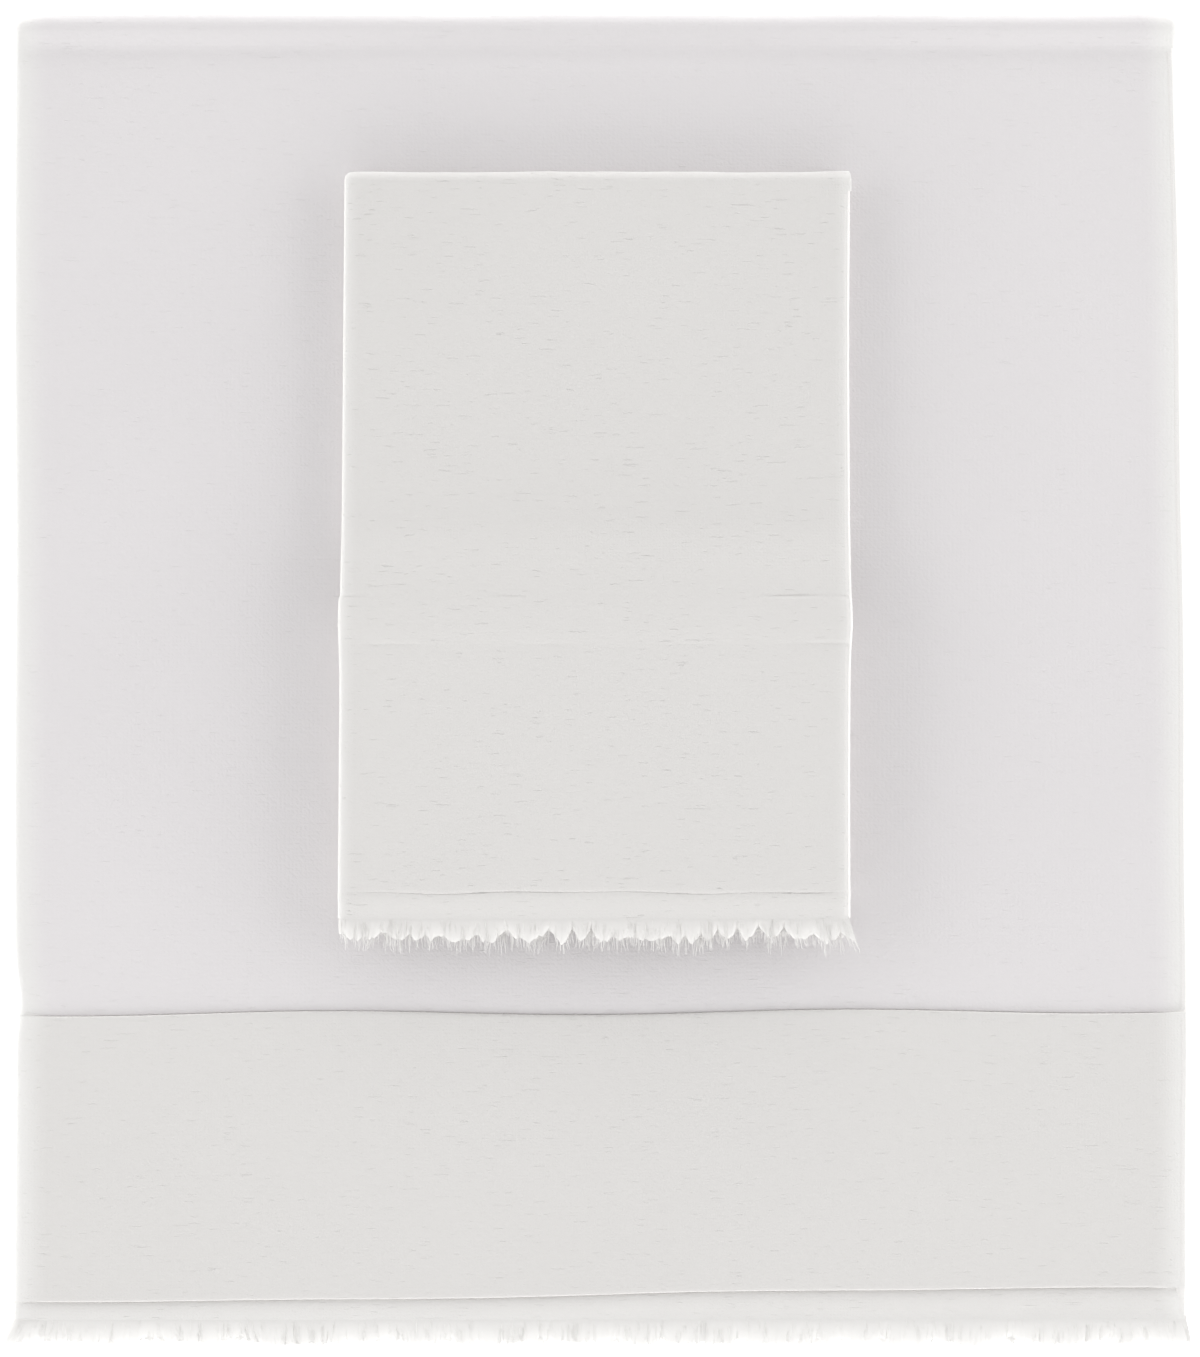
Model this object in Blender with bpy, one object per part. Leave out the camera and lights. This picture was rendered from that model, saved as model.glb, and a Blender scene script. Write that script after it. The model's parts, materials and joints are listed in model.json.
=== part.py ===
"""Bath towel set: a large fringed towel folded flat, with a folded hand towel lying on it.

The bath towel is folded in half across its width, with the fold on the left, and then in three
along its length like an accordion, so three double plies lie on each other. The hand towel is
folded in half the same way, and in three along its length with its short end tucked inside.
+X runs across the towels, +Y towards their top folds and +Z up from the surface they lie on.
"""

import math
import random

import bmesh
import bpy

# Driving dimensions, in metres
BATH_WIDTH = 0.450         # from the side fold to the selvedges
BATH_LENGTH = 0.518        # from the top fold to the tips of the fringe
BATH_CLOTH = 0.0030        # one layer, with the air that it traps
BORDER = 0.108             # depth of the woven border band
BORDER_PROUD = 0.0010      # how far the visible band stands above the field
HEADER = 0.010             # plain strip between the band and the fringe
BATH_FRINGE = 0.012
BATH_FLARE = 0.005         # how far the fringe spreads past each side
BATH_TUFTS = 30
FOLD_SETBACK = 0.007       # from the header's end back to the bottom fold
LOWER_END_SETBACK = 0.006  # from the top fold back to the hidden fringe

HAND_WIDTH = 0.1955
HAND_LENGTH = 0.3023       # from its top fold to the tips of its fringe
HAND_CLOTH = 0.0023
HAND_HEADER = 0.010
HAND_FRINGE = 0.0147
HAND_FLARE = 0.005
HAND_TUFTS = 18
HAND_FOLD_SETBACK = 0.006
HAND_X = -0.0018           # its middle, a little left of the bath towel's
HAND_OFFSET = 0.0235       # from the border band to the hand towel's fringe
FLAP_LENGTH = 0.1135       # end tucked inside, from the bottom fold to its fringe tips
FLAP_RAMP = 0.035          # stretch in which the upper ply comes down past the flap

SELVEDGE = 0.006           # woven edge strip
FRINGE_CLOTH = 0.0016      # thickness of the fringe
THREAD = 0.0008            # diameter of the sewing thread

# Clearances
SEAT = 0.0003              # between pieces that touch
SLOT = 0.0003              # between the two layers of one ply
FOLD_GAP = SEAT / 2        # from a fold's axis to the ends of its plies and rolls

# Places that follow from them
GROOVE = THREAD + 2 * SEAT
BATH_PLY = 2 * BATH_CLOTH + SLOT
BATH_PITCH = BATH_PLY + SEAT
BATH_ROLL = BATH_PLY + SEAT / 2
HAND_PLY = 2 * HAND_CLOTH + SLOT
HAND_PITCH = HAND_PLY + SEAT
HAND_ROLL = HAND_PLY + SEAT / 2

TOP = BATH_LENGTH / 2
TIPS = -BATH_LENGTH / 2
TOP_FOLD_Y = TOP - BATH_ROLL - FOLD_GAP
HEADER_END_Y = TIPS + BATH_FRINGE
HEADER_Y = HEADER_END_Y + HEADER
BORDER_Y = HEADER_Y + BORDER
BOTTOM_FOLD_Y = HEADER_END_Y + FOLD_SETBACK + BATH_ROLL + FOLD_GAP
MIDDLE_Z = BATH_PITCH
UPPER_Z = 2 * BATH_PITCH
BATH_TOP_Z = UPPER_Z + BATH_PLY
BATH_START_Y = BOTTOM_FOLD_Y + FOLD_GAP
BATH_END_Y = TOP_FOLD_Y - FOLD_GAP

HAND_TIPS = BORDER_Y + HAND_OFFSET
HAND_TOP = HAND_TIPS + HAND_LENGTH
HAND_TOP_FOLD_Y = HAND_TOP - HAND_ROLL - FOLD_GAP
HAND_HEADER_END_Y = HAND_TIPS + HAND_FRINGE
HAND_HEADER_Y = HAND_HEADER_END_Y + HAND_HEADER
HAND_BOTTOM_FOLD_Y = HAND_HEADER_END_Y + HAND_FOLD_SETBACK + HAND_ROLL + FOLD_GAP
FLAP_TIPS = HAND_BOTTOM_FOLD_Y + FLAP_LENGTH
HAND_Z = BATH_TOP_Z + SEAT
FLAP_Z = HAND_Z + HAND_PITCH
HAND_START_Y = HAND_BOTTOM_FOLD_Y + FOLD_GAP
HAND_END_Y = HAND_TOP_FOLD_Y - FOLD_GAP

ARC_STEPS = 8
RAMP_STEPS = 8
THREAD_SIDES = 2           # bevel resolution, for eight sides

UPRIGHT = (math.pi / 2, 0, 0)            # an outline in X and Z, extruded along Y
ACROSS = (math.pi / 2, 0, math.pi / 2)   # an outline in Y and Z, extruded along X
FLAT = (0, 0, 0)                         # an outline in X and Y, extruded along Z

COLOURS = {
    "bath_cloth": (0.76, 0.75, 0.76, 1),
    "border_cloth": (0.73, 0.72, 0.70, 1),
    "hand_cloth": (0.73, 0.72, 0.70, 1),
    "selvedge_weave": (0.78, 0.77, 0.76, 1),
    "fringe_yarn": (0.84, 0.84, 0.83, 1),
    "sewing_thread": (0.62, 0.61, 0.59, 1),
}


def clear_scene():
    for obj in list(bpy.data.objects):
        bpy.data.objects.remove(obj, do_unlink=True)


def make_materials():
    made = {}
    for name, colour in COLOURS.items():
        material = bpy.data.materials.new(name)
        material.use_nodes = True
        shader = material.node_tree.nodes["Principled BSDF"]
        shader.inputs["Base Color"].default_value = colour
        shader.inputs["Roughness"].default_value = 0.95
        shader.inputs["Metallic"].default_value = 0.0
        made[name] = material
    return made


def add_object(name, data, material, parent, location=(0, 0, 0), rotation=FLAT):
    """A named object in the set's collection. Its location is in the world, whatever its parent."""
    obj = bpy.data.objects.new(name, data)
    COLLECTION.objects.link(obj)
    data.materials.append(MATERIALS[material])
    obj.location = [place - origin for place, origin in zip(location, parent.location)]
    obj.rotation_euler = rotation
    obj.parent = parent
    return obj


def add_pivot(name, location):
    """An empty on a joint's axis, which carries the pieces that move with it."""
    empty = bpy.data.objects.new(name, None)
    COLLECTION.objects.link(empty)
    empty.location = location
    return empty


def outline_solid(name, points, depth, material, parent, location, rotation):
    """A flat outline, extruded by half its depth to each side."""
    curve = bpy.data.curves.new(name, "CURVE")
    curve.dimensions = "2D"
    curve.fill_mode = "BOTH"
    curve.extrude = depth / 2
    spline = curve.splines.new("POLY")
    spline.points.add(len(points) - 1)
    for point, (across, up) in zip(spline.points, points):
        point.co = (across, up, 0, 1)
    spline.use_cyclic_u = True
    return add_object(name, curve, material, parent, location, rotation)


def arc(centre, across, up, start, end):
    """Points of an elliptical arc, from one angle to another in degrees."""
    angles = [math.radians(start + (end - start) * i / ARC_STEPS) for i in range(ARC_STEPS + 1)]
    return [(centre[0] + across * math.cos(a), centre[1] + up * math.sin(a)) for a in angles]


def ply_outline(width, cloth, proud):
    """Section of a cloth doubled over at -X, with its two layers open at +X."""
    height = 2 * cloth + SLOT
    top = height + proud
    left, right = -width / 2, width / 2 - SELVEDGE - SEAT
    fold = arc((left + height / 2, top / 2), height / 2, top / 2, 90, 270)
    slot = [(right, cloth), (left + cloth, cloth), (left + cloth, cloth + SLOT), (right, cloth + SLOT)]
    return fold + [(right, 0)] + slot + [(right, top)]


def double_ply(name, spec, start, end, z, material, parent, proud=0.0):
    """A stretch of doubled cloth from y start to y end, with its underside at z."""
    points = ply_outline(spec["width"], spec["cloth"], proud)
    middle = (spec["x"], (start + end) / 2, z)
    return outline_solid(name, points, end - start, material, parent, middle, UPRIGHT)


def block(name, low, high, material, parent):
    """A plain box between two corners."""
    mesh = bpy.data.meshes.new(name)
    shape = bmesh.new()
    bmesh.ops.create_cube(shape, size=1.0)
    size = [top - bottom for bottom, top in zip(low, high)]
    bmesh.ops.scale(shape, vec=size, verts=shape.verts)
    shape.to_mesh(mesh)
    shape.free()
    centre = [(top + bottom) / 2 for bottom, top in zip(low, high)]
    return add_object(name, mesh, material, parent, centre)


def selvedges(prefix, spec, start, end, z, parent):
    """The two woven edge strips of a ply, one on each layer."""
    right = spec["x"] + spec["width"] / 2
    for side, bottom in (("under", z), ("top", z + spec["cloth"] + SLOT)):
        low = (right - SELVEDGE, start, bottom)
        high = (right, end, bottom + spec["cloth"])
        block(f"{prefix}_selvedge_{side}", low, high, "selvedge_weave", parent)


def fringe_outline(width, length, flare, tufts, short, seed):
    """A comb: a root band and a row of tapered tufts, which fan out a little towards the sides."""
    draw = random.Random(seed)
    pitch = width / tufts
    root = 0.22 * length
    tip = 0.30 * pitch
    fan = (width / 2 + flare - tip / 2) / (width / 2 - pitch / 2)
    points = [(width / 2, 0), (-width / 2, 0), (-width / 2, -root)]
    for i in range(tufts):
        centre = -width / 2 + (i + 0.5) * pitch
        reach = length - short * (i % 3) - draw.uniform(0, short) * (i % 3 > 0)
        points += [(centre * fan - tip / 2, -reach), (centre * fan + tip / 2, -reach)]
        if i < tufts - 1:
            points.append((centre + pitch / 2, -root))
    points.append((width / 2, -root))
    return points[::-1]


def fringes(prefix, spec, root_y, z, parent, towards=-1):
    """The fringes of both layers. The under one is a little shorter than the one on top."""
    length = spec["fringe"] - SEAT
    middle = (spec["cloth"] - FRINGE_CLOTH) / 2 + FRINGE_CLOTH / 2
    turned = (0, 0, 0) if towards < 0 else (0, 0, math.pi)
    for side, bottom, less, seed in (("under", z, 0.1, 4), ("top", z + spec["cloth"] + SLOT, 0.0, 7)):
        points = fringe_outline(
            spec["width"], length * (1 - less), spec["flare"], spec["tufts"], 0.1 * length, seed
        )
        place = (spec["x"], root_y + towards * SEAT, bottom + middle)
        name = f"{prefix}_fringe_{side}"
        outline_solid(name, points, FRINGE_CLOTH, "fringe_yarn", parent, place, turned)


def fold_rolls(prefix, spec, y, z, material, parent, towards):
    """The two layers of cloth that wrap round a fold, one inside the other, about the axis at y, z."""
    inner = SEAT / 2
    rings = (
        ("inner", inner, inner + spec["cloth"]),
        ("outer", inner + spec["cloth"] + SLOT, inner + 2 * spec["cloth"] + SLOT),
    )
    start, end = (-90, 90) if towards > 0 else (90, 270)
    for side, small, large in rings:
        points = arc((0, 0), large, large, start, end) + arc((0, 0), small, small, end, start)
        place = (spec["x"], y + towards * FOLD_GAP, z)
        name = f"{prefix}_fold_{side}"
        outline_solid(name, points, spec["width"], material, parent, place, ACROSS)


def seam_thread(name, spec, y, z, parent):
    """A line of sewing thread across the towel, in the groove between two panels."""
    curve = bpy.data.curves.new(name, "CURVE")
    curve.dimensions = "3D"
    curve.bevel_depth = THREAD / 2
    curve.bevel_resolution = THREAD_SIDES
    curve.use_fill_caps = True
    spline = curve.splines.new("POLY")
    spline.points.add(1)
    inset = 2 * spec["cloth"]
    left = -spec["width"] / 2 + inset
    right = spec["width"] / 2 - SELVEDGE - SEAT
    for point, x in zip(spline.points, (left, right)):
        point.co = (x, 0, 0, 1)
    return add_object(name, curve, "sewing_thread", parent, (spec["x"], y, z - THREAD / 2))


def step_down(y):
    """How far the hand towel's upper ply is lifted at y by the flap tucked under it."""
    start = FLAP_TIPS + SEAT
    share = min(1.0, max(0.0, (start + FLAP_RAMP - y) / FLAP_RAMP))
    return HAND_PITCH * share * share * (3 - 2 * share)


def drape_over_flap(obj):
    """Makes the piece a mesh, cuts it across the ramp and lifts it over the flap."""
    bpy.context.view_layer.update()
    evaluated = obj.evaluated_get(bpy.context.evaluated_depsgraph_get())
    mesh = bpy.data.meshes.new_from_object(evaluated)
    matrix = obj.matrix_world.copy()
    shape = bmesh.new()
    shape.from_mesh(mesh)
    bmesh.ops.transform(shape, matrix=matrix, verts=shape.verts)
    bmesh.ops.remove_doubles(shape, verts=shape.verts, dist=0.00001)
    for i in range(RAMP_STEPS + 1):
        y = FLAP_TIPS + SEAT + FLAP_RAMP * i / RAMP_STEPS
        whole = shape.verts[:] + shape.edges[:] + shape.faces[:]
        bmesh.ops.bisect_plane(shape, geom=whole, plane_co=(0, y, 0), plane_no=(0, 1, 0))
    for vertex in shape.verts:
        vertex.co.z += step_down(vertex.co.y)
    bmesh.ops.transform(shape, matrix=matrix.inverted(), verts=shape.verts)
    bmesh.ops.recalc_face_normals(shape, faces=shape.faces)
    shape.to_mesh(mesh)
    shape.free()
    if obj.type == "MESH":
        obj.data = mesh
        return
    draped = bpy.data.objects.new(obj.name, mesh)
    COLLECTION.objects.link(draped)
    draped.parent = obj.parent
    draped.location, draped.rotation_euler = obj.location, obj.rotation_euler
    name = obj.name
    bpy.data.objects.remove(obj, do_unlink=True)
    draped.name = name


def bath_lower(parent):
    """The ply on the table. Its fringed end is hidden under the top fold."""
    tips = TOP - LOWER_END_SETBACK
    header_end = tips - BATH_FRINGE
    header = header_end - HEADER
    border = header - BORDER
    double_ply("bath_lower_field", BATH, BATH_START_Y, border, 0, "bath_cloth", parent)
    double_ply("bath_lower_border", BATH, border + SEAT, header, 0, "border_cloth", parent)
    double_ply("bath_lower_header", BATH, header + SEAT, header_end, 0, "border_cloth", parent)
    selvedges("bath_lower", BATH, BATH_START_Y, header_end, 0, parent)
    fringes("bath_lower", BATH, header_end, 0, parent, towards=1)
    fold_z = BATH_ROLL
    fold_rolls("bath_bottom", BATH, BOTTOM_FOLD_Y, fold_z, "bath_cloth", parent, towards=-1)


def bath_middle(parent):
    double_ply("bath_middle_field", BATH, BATH_START_Y, BATH_END_Y, MIDDLE_Z, "bath_cloth", parent)
    selvedges("bath_middle", BATH, BATH_START_Y, BATH_END_Y, MIDDLE_Z, parent)
    fold_z = MIDDLE_Z + BATH_ROLL
    fold_rolls("bath_top", BATH, TOP_FOLD_Y, fold_z, "bath_cloth", parent, towards=1)


def bath_upper(parent):
    """The ply that shows: the field, the deep border band, the header and the fringes."""
    half = GROOVE / 2
    z = UPPER_Z
    double_ply("bath_upper_field", BATH, BORDER_Y + half, BATH_END_Y, z, "bath_cloth", parent)
    double_ply(
        "bath_upper_border", BATH, HEADER_Y + half, BORDER_Y - half, z, "border_cloth", parent,
        proud=BORDER_PROUD,
    )
    double_ply("bath_upper_header", BATH, HEADER_END_Y, HEADER_Y - half, z, "border_cloth", parent)
    selvedges("bath_upper", BATH, HEADER_END_Y, BATH_END_Y, z, parent)
    fringes("bath_upper", BATH, HEADER_END_Y, z, parent)
    seam_thread("bath_border_seam_thread", BATH, BORDER_Y, BATH_TOP_Z, parent)
    seam_thread("bath_header_seam_thread", BATH, HEADER_Y, BATH_TOP_Z, parent)


def hand_lower(parent):
    """The ply on the bath towel, with the folds at both of its ends."""
    double_ply(
        "hand_lower_field", HAND, HAND_START_Y, HAND_END_Y, HAND_Z, "hand_cloth", parent
    )
    selvedges("hand_lower", HAND, HAND_START_Y, HAND_END_Y, HAND_Z, parent)
    fold_z = HAND_Z + HAND_ROLL
    fold_rolls("hand_bottom", HAND, HAND_BOTTOM_FOLD_Y, fold_z, "hand_cloth", parent, towards=-1)
    fold_rolls("hand_top", HAND, HAND_TOP_FOLD_Y, fold_z, "hand_cloth", parent, towards=1)


def hand_flap(parent):
    """The fringed end tucked inside. It lifts the upper ply and shows as a soft ridge."""
    header_end = FLAP_TIPS - HAND_FRINGE
    header = header_end - HAND_HEADER
    double_ply("hand_flap_field", HAND, HAND_START_Y, header, FLAP_Z, "hand_cloth", parent)
    double_ply("hand_flap_header", HAND, header + SEAT, header_end, FLAP_Z, "hand_cloth", parent)
    selvedges("hand_flap", HAND, HAND_START_Y, header_end, FLAP_Z, parent)
    fringes("hand_flap", HAND, header_end, FLAP_Z, parent, towards=1)


def hand_upper(parent):
    """The ply that shows. It lies on the lower ply at the top fold, and on the flap below that."""
    half = GROOVE / 2
    lifted = FLAP_Z + HAND_PITCH
    field = double_ply(
        "hand_upper_field", HAND, HAND_HEADER_Y + half, HAND_END_Y, FLAP_Z, "hand_cloth", parent
    )
    selvedges("hand_upper", HAND, HAND_HEADER_END_Y, HAND_END_Y, FLAP_Z, parent)
    drape_over_flap(field)
    for side in ("under", "top"):
        drape_over_flap(bpy.data.objects[f"hand_upper_selvedge_{side}"])
    double_ply(
        "hand_upper_header", HAND, HAND_HEADER_END_Y, HAND_HEADER_Y - half, lifted, "hand_cloth",
        parent,
    )
    fringes("hand_upper", HAND, HAND_HEADER_END_Y, lifted, parent)
    seam_thread("hand_hemstitch_thread", HAND, HAND_HEADER_Y, lifted + HAND_PLY, parent)


BATH = {
    "width": BATH_WIDTH, "cloth": BATH_CLOTH, "x": 0.0,
    "fringe": BATH_FRINGE, "flare": BATH_FLARE, "tufts": BATH_TUFTS,
}
HAND = {
    "width": HAND_WIDTH, "cloth": HAND_CLOTH, "x": HAND_X,
    "fringe": HAND_FRINGE, "flare": HAND_FLARE, "tufts": HAND_TUFTS,
}

clear_scene()
COLLECTION = bpy.data.collections.new("bath_towel_set")
bpy.context.scene.collection.children.link(COLLECTION)
MATERIALS = make_materials()

bath_lower(add_pivot("bath_lower_origin", (0, 0, 0)))
bath_middle(add_pivot("bath_bottom_fold_axis", (0, BOTTOM_FOLD_Y, BATH_ROLL)))
bath_upper(add_pivot("bath_top_fold_axis", (0, TOP_FOLD_Y, MIDDLE_Z + BATH_ROLL)))
hand_lower(add_pivot("hand_lower_origin", (HAND_X, 0, HAND_Z)))
hand_flap(add_pivot("hand_bottom_fold_axis", (HAND_X, HAND_BOTTOM_FOLD_Y, HAND_Z + HAND_ROLL)))
hand_upper(add_pivot("hand_top_fold_axis", (HAND_X, HAND_TOP_FOLD_Y, HAND_Z + HAND_ROLL)))
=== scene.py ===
"""Folded bath towel set: a fringed bath towel with a deep border band, and a hand towel on it.

The frame gives the place and size of every ply. Each operator lays the pieces of one ply, fold,
fringe or seam round it, and the last one sets up the studio. The operators are listed in the
Towels tab of the 3D view's sidebar.
"""

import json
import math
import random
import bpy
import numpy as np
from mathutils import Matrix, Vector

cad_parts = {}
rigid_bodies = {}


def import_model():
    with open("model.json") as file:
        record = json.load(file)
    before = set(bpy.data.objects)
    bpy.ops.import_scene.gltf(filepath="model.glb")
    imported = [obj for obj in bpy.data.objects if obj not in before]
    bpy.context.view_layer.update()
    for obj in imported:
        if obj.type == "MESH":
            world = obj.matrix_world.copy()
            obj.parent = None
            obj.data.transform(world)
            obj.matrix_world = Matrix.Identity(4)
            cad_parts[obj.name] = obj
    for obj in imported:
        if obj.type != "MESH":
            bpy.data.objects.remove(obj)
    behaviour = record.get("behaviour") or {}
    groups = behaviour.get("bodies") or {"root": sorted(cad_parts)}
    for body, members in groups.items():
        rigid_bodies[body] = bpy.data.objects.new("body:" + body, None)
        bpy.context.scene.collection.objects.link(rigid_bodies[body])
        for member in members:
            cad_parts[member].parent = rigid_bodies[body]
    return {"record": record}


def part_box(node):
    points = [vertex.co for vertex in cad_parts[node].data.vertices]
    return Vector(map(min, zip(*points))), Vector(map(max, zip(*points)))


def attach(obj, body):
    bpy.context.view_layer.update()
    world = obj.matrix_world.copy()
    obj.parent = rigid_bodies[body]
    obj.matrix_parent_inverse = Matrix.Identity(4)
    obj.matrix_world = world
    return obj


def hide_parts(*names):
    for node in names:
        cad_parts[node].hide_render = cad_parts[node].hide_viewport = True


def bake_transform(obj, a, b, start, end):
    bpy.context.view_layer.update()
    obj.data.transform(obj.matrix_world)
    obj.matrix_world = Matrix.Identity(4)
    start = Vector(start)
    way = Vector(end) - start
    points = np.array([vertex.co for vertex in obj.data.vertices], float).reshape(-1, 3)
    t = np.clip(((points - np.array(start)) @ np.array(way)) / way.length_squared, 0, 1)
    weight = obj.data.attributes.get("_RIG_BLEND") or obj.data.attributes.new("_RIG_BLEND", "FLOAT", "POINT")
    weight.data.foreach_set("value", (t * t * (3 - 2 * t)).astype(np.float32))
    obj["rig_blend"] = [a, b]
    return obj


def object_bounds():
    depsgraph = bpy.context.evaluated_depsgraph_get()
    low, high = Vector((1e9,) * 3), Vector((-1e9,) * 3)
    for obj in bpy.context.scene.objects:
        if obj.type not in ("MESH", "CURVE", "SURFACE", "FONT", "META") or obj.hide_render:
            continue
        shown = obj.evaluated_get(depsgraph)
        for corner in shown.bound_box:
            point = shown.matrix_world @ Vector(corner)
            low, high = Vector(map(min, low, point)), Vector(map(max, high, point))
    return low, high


bl_info = {
    "name": "Folded Bath Towel Set",
    "version": (1, 0, 0),
    "blender": (4, 5, 0),
    "location": "View3D > Sidebar > Towels",
    "description": "Lays a folded bath towel and hand towel with borders, fringes and seams",
    "category": "Object",
}

import bpy
import numpy as np
from bpy.props import FloatProperty, FloatVectorProperty, IntProperty, PointerProperty
from bpy.types import Operator, Panel, PropertyGroup

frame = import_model()
CAD_BOX = [[float(x) for x in corner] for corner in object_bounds()]

MM = 0.001


# ---------------------------------------------------------------- places, from the frame

def ply_from_frame(body, field, selvedge):
    """The box of one double ply: its edges, its ends, its middle height and its layers."""
    low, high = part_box(field)
    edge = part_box(selvedge + "_top")
    return {
        "body": body,
        "left": low[0], "right": edge[1][0],
        "start": edge[0][1], "end": edge[1][1],
        "bottom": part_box(selvedge + "_under")[0][2],
        "top": edge[1][2],
        "layer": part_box(selvedge + "_under")[1][2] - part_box(selvedge + "_under")[0][2],
    }


def fringe_reach(node):
    low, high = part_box(node)
    return high[1] - low[1]


def joint(name):
    return next(j for j in frame["record"]["behaviour"]["joints"] if j["name"] == name)


BATH_LOWER = ply_from_frame("bath_lower", "bath_lower_field", "bath_lower_selvedge")
BATH_MIDDLE = ply_from_frame("bath_middle", "bath_middle_field", "bath_middle_selvedge")
BATH_UPPER = ply_from_frame("bath_upper", "bath_upper_field", "bath_upper_selvedge")
HAND_LOWER = ply_from_frame("hand_lower", "hand_lower_field", "hand_lower_selvedge")
HAND_FLAP = ply_from_frame("hand_flap", "hand_flap_field", "hand_flap_selvedge")
HAND_UPPER = dict(HAND_FLAP, body="hand_upper")
HAND_UPPER["start"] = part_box("hand_upper_selvedge_top")[0][1]
HAND_UPPER["end"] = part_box("hand_upper_selvedge_top")[1][1]

BAND_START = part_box("bath_upper_border")[0][1]
BAND_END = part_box("bath_upper_border")[1][1]
BAND_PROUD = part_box("bath_upper_border")[1][2] - BATH_UPPER["top"]
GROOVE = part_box("bath_upper_field")[0][1] - BAND_END
HAND_HEM = (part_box("hand_upper_header")[1][1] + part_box("hand_upper_field")[0][1]) / 2
FLAP_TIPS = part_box("hand_flap_fringe_top")[1][1]
FLAP_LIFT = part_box("hand_upper_header")[0][2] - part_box("hand_flap_field")[0][2]
BATH_RUN = 6.0 * MM         # flat cloth on each side of the top fold
LOW_RUN = 3.0 * MM          # and of the other folds
HAND_CORNER = (0.2 * MM, 0.9)
BAND_RISE = BAND_PROUD - 0.35 * MM
RIM_RADIUS = 0.9 * MM
RIM_ROWS = (0.15 * MM, 0.45 * MM, 1.0 * MM, 2.2 * MM)
MIN_ROW_GAP = 0.08 * MM
SIDE_ARC = 15               # points round a side fold
END_ROWS = 10               # points across an open edge
BATH_GAP = 0.05 * MM        # between a seam's line and its panels
HAND_GAP = 0.03 * MM
BATH_THREAD_DEPTH = 1.15 * MM
HAND_THREAD_DEPTH = 0.75 * MM
THREAD_PITCH = 2.6 * MM
STRAND_OFFSET = 0.16 * MM
STRAND_RADIUS = 0.2 * MM
# Along the matted part of a fringe: rows as shares of its reach, and its thickness at each.
MAT_ROWS = np.array([-0.12, 0.0, 0.2, 0.4, 0.6, 0.8, 0.93, 1.0])
MAT_THICKNESS = np.array([0.7, 0.99, 0.96, 0.87, 0.73, 0.55, 0.36, 0.14])
YARN_TAPER = np.array([0.5, 0.9, 0.9, 0.75, 0.55, 0.3])
YARN_SIDES = [1.0, 1.0, 1.0, 0.4, -1.0]   # most loose yarns lie on top of the mat

FLOOR_SIDE = 6.0
FLOOR_GAP = 0.2 * MM
FLOOR_GLOW = 0.45
SKY_GLOW = {"From Min": 0.0, "From Max": 0.6, "To Min": 3.1, "To Max": 0.59}
SOFTBOXES = (("left", 7.0, -90), ("front", 5.0, 0), ("right", 8.5, 90))   # watts, degrees
SOFTBOX_SIZE = (2.0, 1.0)
SOFTBOX_AWAY, SOFTBOX_HEIGHT, SOFTBOX_TILT = 1.7, 0.55, 71
LENS, SENSOR = 100.0, 36.0
VIEW_WIDTH = 0.5252         # what the camera takes in, level with the bath towel's top
VIEW_CENTRE = (0.0, 1.2 * MM)


# ---------------------------------------------------------------- settings

def linear(code):
    """An sRGB hex colour as linear red, green and blue."""
    values = [int(code[i:i + 2], 16) / 255 for i in (0, 2, 4)]
    return [v / 12.92 if v <= 0.04045 else ((v + 0.055) / 1.055) ** 2.4 for v in values]


def length(name, text, default):
    return FloatProperty(name=name, description=text, default=default, min=0.0, unit="LENGTH")


def colour(name, text, code):
    return FloatVectorProperty(
        name=name, description=text, default=linear(code), size=3, min=0.0, max=1.0, subtype="COLOR"
    )


class TowelClothSettings(PropertyGroup):
    layer_share: FloatProperty(
        name="Cloth share", description="Thickness of the cloth as a share of its layer's space",
        default=0.83, min=0.5, max=0.95, subtype="FACTOR",
    )
    bath_shoulder: length("Bath shoulder", "Width over which the bath towel's sides round off", 12.0 * MM)
    hand_shoulder: length("Hand shoulder", "Width over which the hand towel's sides round off", 5.5 * MM)
    bath_droop: length("Bath edge droop", "How far the bath towel's open edge sinks", 2.6 * MM)
    hand_droop: length("Hand edge droop", "How far the hand towel's open edge sinks", 1.7 * MM)
    bead: length("Top bead", "Height of the soft bead along the top fold", 0.5 * MM)
    valley: length("Top valley", "Depth of the soft valley behind the bead", 1.35 * MM)
    ripple: length("Ripple", "Height of the slow ripples in the cloth", 0.22 * MM)
    pucker: length("Pucker", "Depth of the small puckers beside a seam", 0.16 * MM)
    seam_dip: length("Seam dip", "How far the cloth sinks towards a seam", 0.6 * MM)
    header_droop: length("Header droop", "How far the bath towel's header bends down", 1.4 * MM)


class TowelFringeSettings(PropertyGroup):
    yarns_per_cm: FloatProperty(
        name="Yarns per cm", description="Loose yarns in each centimetre of a fringe",
        default=40.0, min=2.0, max=120.0,
    )
    yarn: length("Yarn", "Diameter of one loose yarn", 0.36 * MM)
    yarn_gap: length("Yarn spacing", "Spacing of the yarns matted in the tufts", 0.5 * MM)
    seed: IntProperty(name="Seed", description="Changes the lie of the yarns", default=11, min=0)


class TowelColourSettings(PropertyGroup):
    towelling: colour("Towelling", "Cloth of the bath towel's field", "E3E0E1")
    band: colour("Band", "Cloth of the border band and header", "DFDDDB")
    hand: colour("Hand towel", "Cloth of the hand towel", "DFDDDB")
    selvedge: colour("Selvedge", "Woven edges", "E9E7E5")
    fringe: colour("Fringe", "Loose yarns", "E9E8E6")
    # The thread is darker than the cloth: partly its own tone, partly painted shade of the seam groove.
    thread: colour("Thread", "Sewing thread", "C9C6C1")
    floor: colour("Floor", "Studio floor", "F7F7F7")


# ---------------------------------------------------------------- materials

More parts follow.
